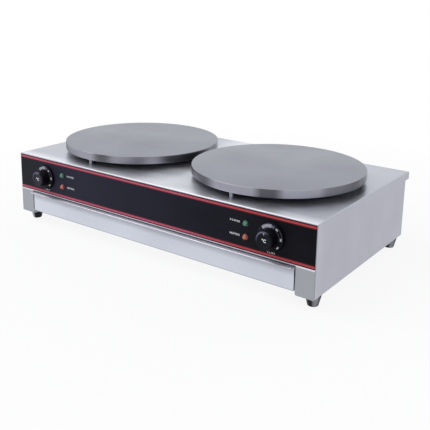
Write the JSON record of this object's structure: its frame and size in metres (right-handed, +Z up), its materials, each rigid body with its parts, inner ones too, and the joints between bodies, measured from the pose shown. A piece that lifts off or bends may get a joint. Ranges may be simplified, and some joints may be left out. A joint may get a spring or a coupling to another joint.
{
  "type": "electric crepe maker",
  "caption": "Countertop crepe maker: two round cast griddles on a folded steel case with a black control panel, turning knobs, lamps and a full-width drawer.",
  "frame": {"origin": "on the bench, under the middle of the overall bounding box", "axes": "+X to the right along the length, +Y to the back (the front panel faces -Y), +Z up"},
  "size_m": [0.86, 0.4984, 0.2114],
  "materials": {
    "case_steel": "fine brushed",
    "front_steel": "fine brushed",
    "panel_print": "printed film, satin",
    "rear_steel": "fine brushed",
    "inner_steel": "galvanised",
    "drawer_steel": "fine brushed",
    "griddle_iron": "machined",
    "element_sheath": "oxidised",
    "clamp_steel": "mill",
    "ceramic_fibre": "fibrous",
    "heat_pan_black": "heat-resistant black",
    "fastener_steel": "zinc plated",
    "pillar_steel": "bright turned",
    "thermostat_resin": "moulded",
    "shaft_steel": "turned",
    "knob_black": "moulded, satin gloss",
    "copper_tube": "drawn",
    "lens_green": "translucent",
    "lens_orange": "translucent",
    "lamp_black": "moulded",
    "block_ceramic": "unglazed",
    "brass_screws": "bright",
    "lead_sleeve": "glass-fibre sleeve",
    "gland_black": "moulded",
    "earth_brass": "bright",
    "foot_rubber": "moulded"
  },
  "bodies": {
    "case": {"case_shell": "case_steel", "front_frame": "front_steel", "control_overlay": "panel_print", "rear_panel": "rear_steel", "electrics_tray": "inner_steel", "drawer_rail_left": "inner_steel", "drawer_rail_right": "inner_steel", "griddle_left": "griddle_iron", "griddle_right": "griddle_iron", "element_left": "element_sheath", "element_right": "element_sheath", "element_clamp_left": "clamp_steel", "element_clamp_right": "clamp_steel", "insulation_left": "ceramic_fibre", "insulation_right": "ceramic_fibre", "heat_pan_left": "heat_pan_black", "heat_pan_right": "heat_pan_black", "heat_pan_bolts": "fastener_steel", "pillars_left": "pillar_steel", "pillars_right": "pillar_steel", "pillar_studs": "fastener_steel", "pillar_nuts": "fastener_steel", "thermostat_left": "thermostat_resin", "thermostat_right": "thermostat_resin", "thermostat_screws": "fastener_steel", "sensor_left": "copper_tube", "sensor_right": "copper_tube", "power_lens_left": "lens_green", "power_lens_right": "lens_green", "heat_lens_left": "lens_orange", "heat_lens_right": "lens_orange", "lamp_holders_left": "lamp_black", "lamp_holders_right": "lamp_black", "lamp_nuts": "fastener_steel", "terminal_block": "block_ceramic", "terminal_screws": "brass_screws", "wiring_left": "lead_sleeve", "wiring_right": "lead_sleeve", "cable_gland": "gland_black", "gland_nut": "gland_black", "earth_terminal": "earth_brass", "earth_nuts": "earth_brass", "rear_panel_screws": "fastener_steel", "rail_screws": "fastener_steel", "foot_front_left": "foot_rubber", "foot_front_right": "foot_rubber", "foot_rear_left": "foot_rubber", "foot_rear_right": "foot_rubber", "foot_washers": "fastener_steel", "foot_screws": "fastener_steel", "foot_nuts": "fastener_steel"},
    "drawer": {"drawer_front": "drawer_steel", "drawer_pan": "drawer_steel"},
    "left_control": {"knob_left": "knob_black", "shaft_left": "shaft_steel"},
    "right_control": {"knob_right": "knob_black", "shaft_right": "shaft_steel"}
  },
  "joints": [
    {"name": "drawer_slide", "type": "slide", "parent": "case", "child": "drawer", "axis": [0, -1, 0], "range_m": [0, 0.32]},
    {"name": "left_control_turn", "type": "hinge", "parent": "case", "child": "left_control", "pos_m": [-0.331, -0.21825, 0.13285], "axis": [0, 1, 0], "range_deg": [0, 270]},
    {"name": "right_control_turn", "type": "hinge", "parent": "case", "child": "right_control", "pos_m": [0.331, -0.21825, 0.13285], "axis": [0, 1, 0], "range_deg": [0, 270]}
  ]
}
